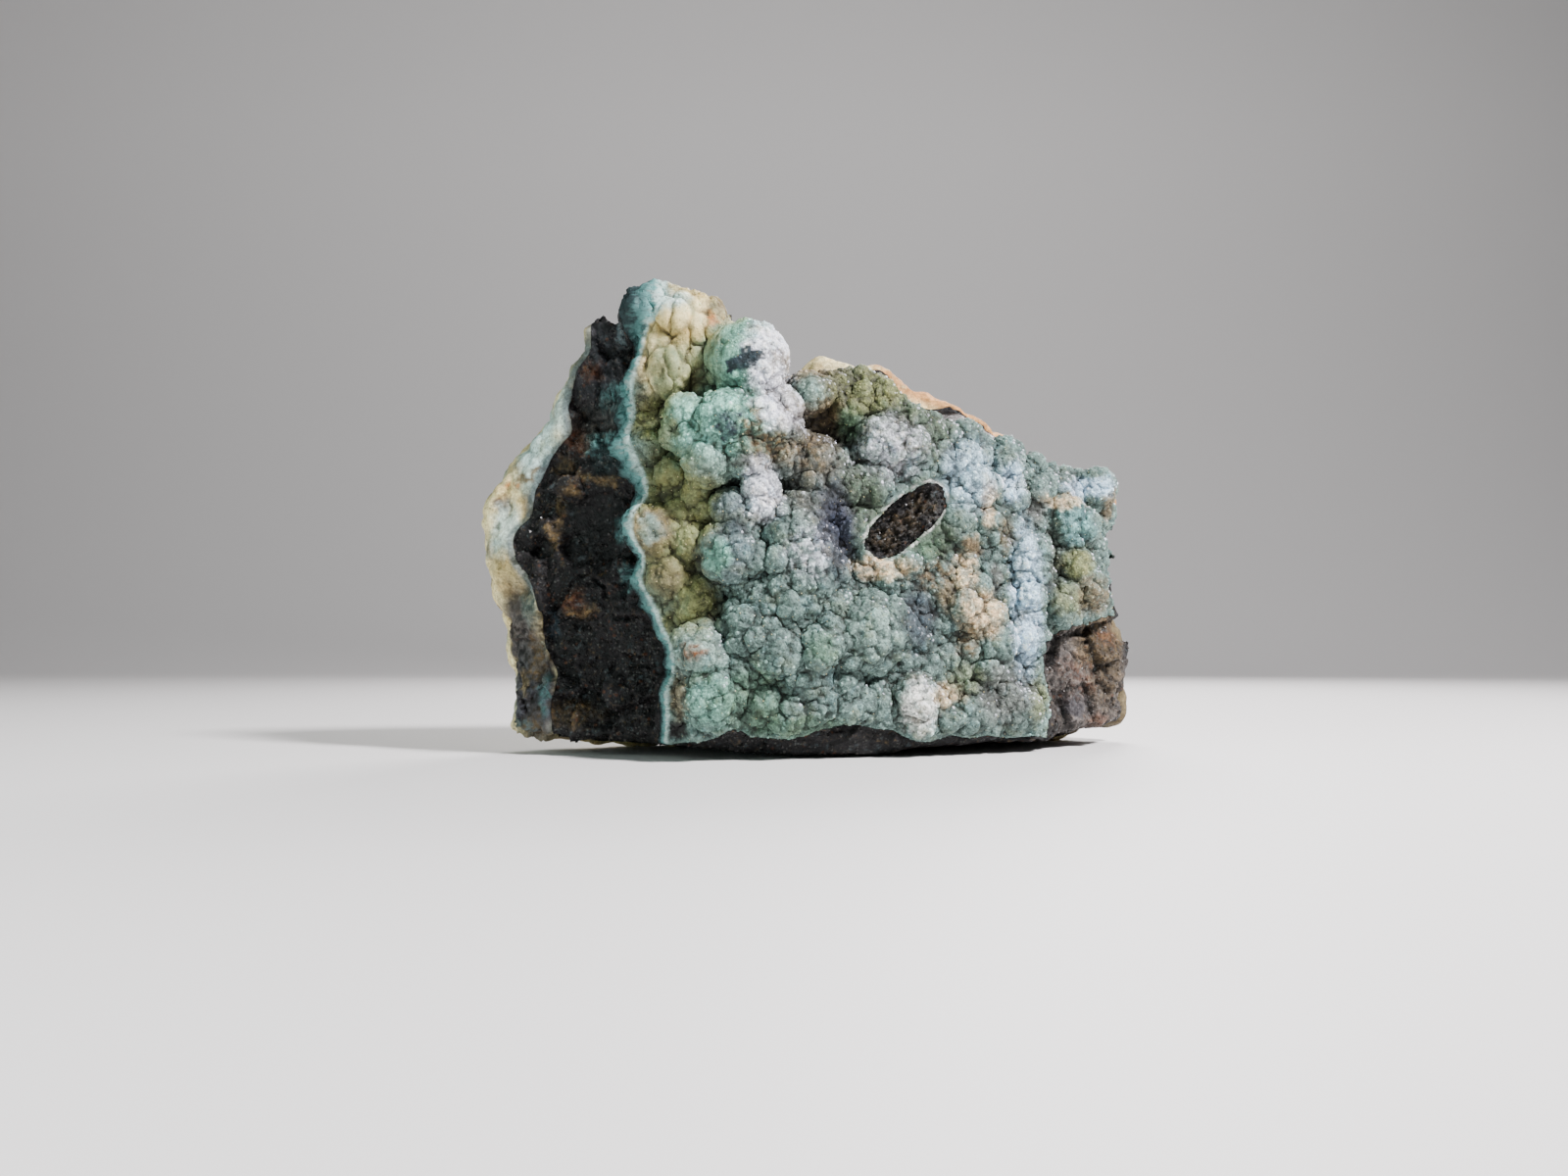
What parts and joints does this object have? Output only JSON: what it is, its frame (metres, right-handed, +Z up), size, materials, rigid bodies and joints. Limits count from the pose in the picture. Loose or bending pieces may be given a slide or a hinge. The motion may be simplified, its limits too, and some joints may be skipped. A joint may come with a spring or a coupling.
{
  "type": "kidwellite mineral specimen",
  "caption": "Loose mineral specimen: a broken chunk of dark goethite with a bumpy green-white kidwellite crust on its front and a pale crust on its back, resting on a flat underside",
  "frame": {"origin": "centre of the bounding box at its lowest height, on the surface that the specimen rests on", "axes": "+X to the right and along the longest extent, +Y away from the viewer who faces the crusted front, +Z up"},
  "size_m": [0.0686, 0.037, 0.0461],
  "materials": {
    "goethite": "broken, nearly black iron oxide with brown and rusty grains and small glints",
    "kidwellite": "matt, finely granular botryoidal crust, grey-green to mint with white-lilac frosting and tan stains",
    "pale_crust": "matt, low rounded crust, cream with tan and mint patches"
  },
  "bodies": {
    "root": {"goethite_matrix": "goethite", "kidwellite_crust": "kidwellite", "back_crust": "pale_crust"}
  },
  "joints": []
}
